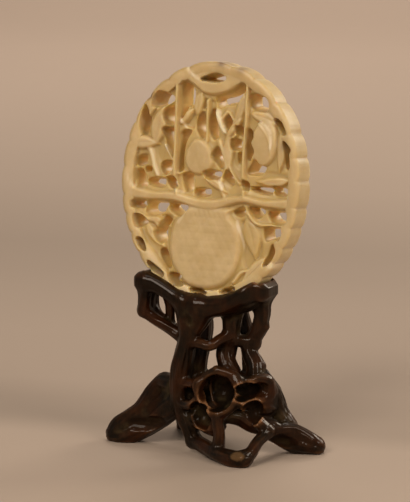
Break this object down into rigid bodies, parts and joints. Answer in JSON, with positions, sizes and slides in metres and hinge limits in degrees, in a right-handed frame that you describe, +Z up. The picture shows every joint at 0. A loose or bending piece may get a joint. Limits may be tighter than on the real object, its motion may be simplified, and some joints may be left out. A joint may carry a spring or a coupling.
{
  "type": "jade plaque on a wooden stand",
  "caption": "Pierced oval jade plaque carved as a flower basket with a lobed rim, standing in the grooved saddle of an openwork carved wood stand shaped like roots.",
  "frame": {"origin": "on the surface it stands on, under the middle of its outer box", "axes": "+Z up, the plaque's carved front faces -Y, X along the plaque's width"},
  "size_m": [0.058, 0.038, 0.0993],
  "materials": {
    "jade": "polished, waxy, slightly translucent",
    "dark_wood": "dark polished hardwood"
  },
  "bodies": {
    "root": {"jade_plaque": "jade", "wood_stand": "dark_wood"}
  },
  "joints": []
}
